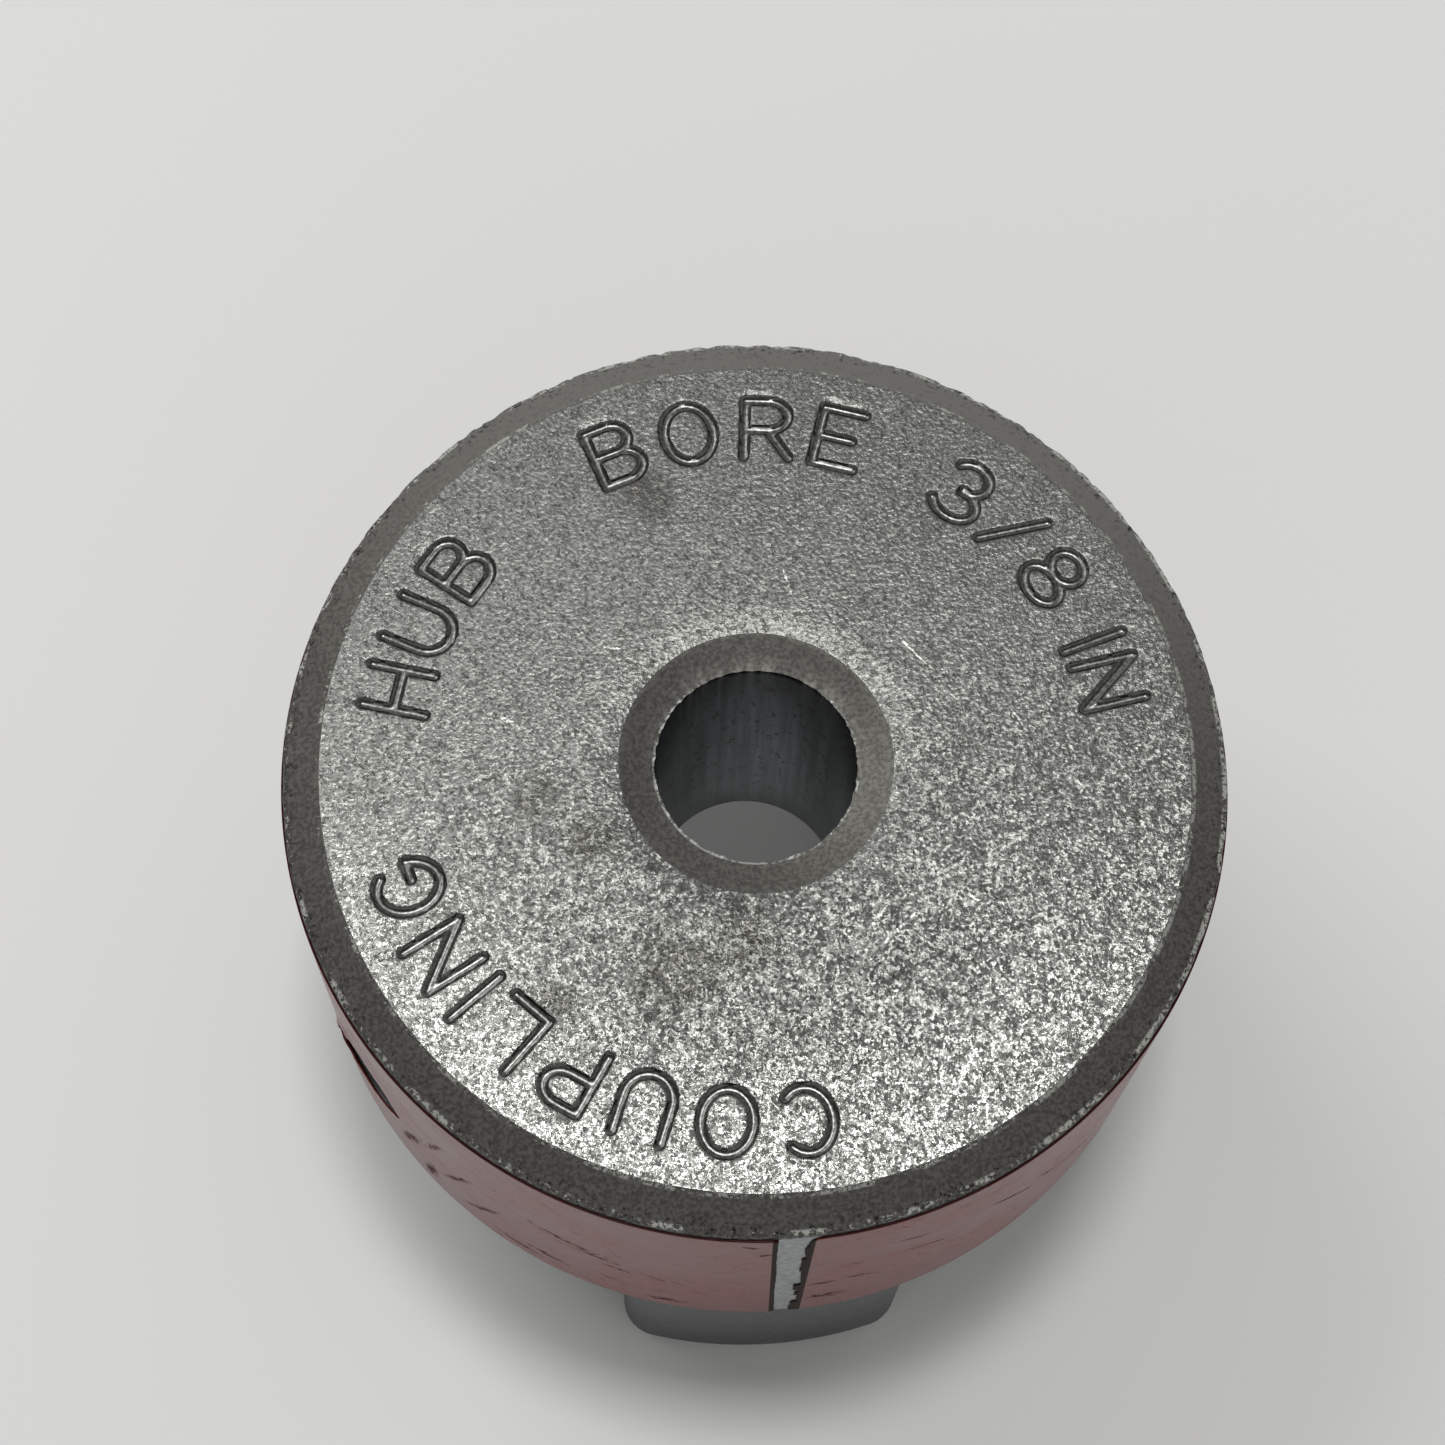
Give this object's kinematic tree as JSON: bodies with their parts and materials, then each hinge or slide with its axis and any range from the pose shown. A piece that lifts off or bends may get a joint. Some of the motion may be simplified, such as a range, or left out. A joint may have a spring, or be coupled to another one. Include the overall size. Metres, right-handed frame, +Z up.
{
  "type": "jaw coupling hub",
  "caption": "Sintered iron hub of a three-jaw shaft coupling, with a plain chamfered bore, a radial set screw and a red label band.",
  "frame": {"origin": "on the bore's axis, level with the ends of the three jaws, on which the hub stands", "axes": "+Z up along the bore, out of the back face; one jaw is centred on -Y, and the set screw lies at 210 degrees from +X towards +Y, between two jaws"},
  "size_m": [0.0452, 0.0452, 0.0323],
  "materials": {
    "sintered_iron": "speckled sintered surface, dull grey",
    "black_oxide_steel": "black oxide, slightly worn",
    "red_label": "glossy red film, scuffed"
  },
  "bodies": {
    "hub": {"hub": "sintered_iron", "label_band": "red_label"},
    "set_screw": {"set_screw": "black_oxide_steel"}
  },
  "joints": [
    {"name": "set_screw_travel", "type": "slide", "parent": "hub", "child": "set_screw", "axis": [-0.866, -0.5, 0], "range_m": [-0.00127, 0.00635]}
  ]
}
